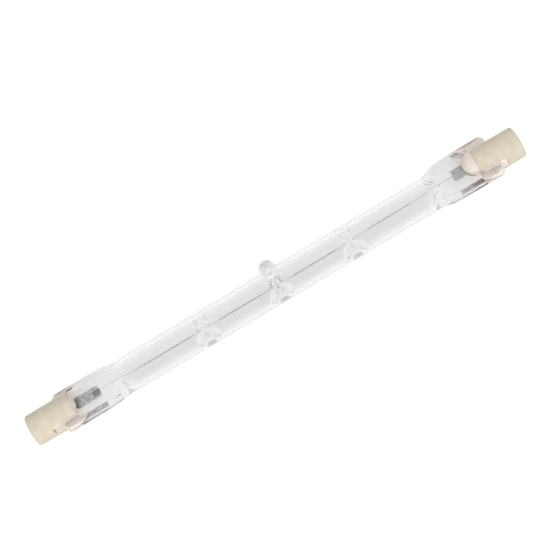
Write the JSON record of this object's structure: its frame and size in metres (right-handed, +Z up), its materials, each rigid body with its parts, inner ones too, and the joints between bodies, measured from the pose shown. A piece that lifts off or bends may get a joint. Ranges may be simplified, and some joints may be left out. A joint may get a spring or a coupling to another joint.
{
  "type": "linear halogen bulb",
  "caption": "Double-ended linear halogen lamp: clear quartz tube with press seals, foils, coiled tungsten filament and slotted ceramic end caps.",
  "frame": {"origin": "on the surface under the middle of the lamp's outline as it lies", "axes": "+X along the lamp towards its right end, whose press is the wider one; +Z up; the exhaust tip leans towards +Y"},
  "size_m": [0.1176, 0.0108, 0.011],
  "materials": {
    "quartz": "clear fused quartz, fire polished",
    "tungsten": "dark drawn wire",
    "molybdenum": "matt rolled foil",
    "steatite": "unglazed, cream",
    "cement": "pale speckled ceramic cement",
    "contact_metal": "nickel plated"
  },
  "bodies": {
    "root": {"quartz_envelope": "quartz", "filament": "tungsten", "left_foil": "molybdenum", "left_weld_tab": "molybdenum", "left_outer_lead": "molybdenum", "left_contact": "contact_metal", "left_ceramic_cap": "steatite", "left_cement": "cement", "right_foil": "molybdenum", "right_weld_tab": "molybdenum", "right_outer_lead": "molybdenum", "right_contact": "contact_metal", "right_ceramic_cap": "steatite", "right_cement": "cement"}
  },
  "joints": []
}
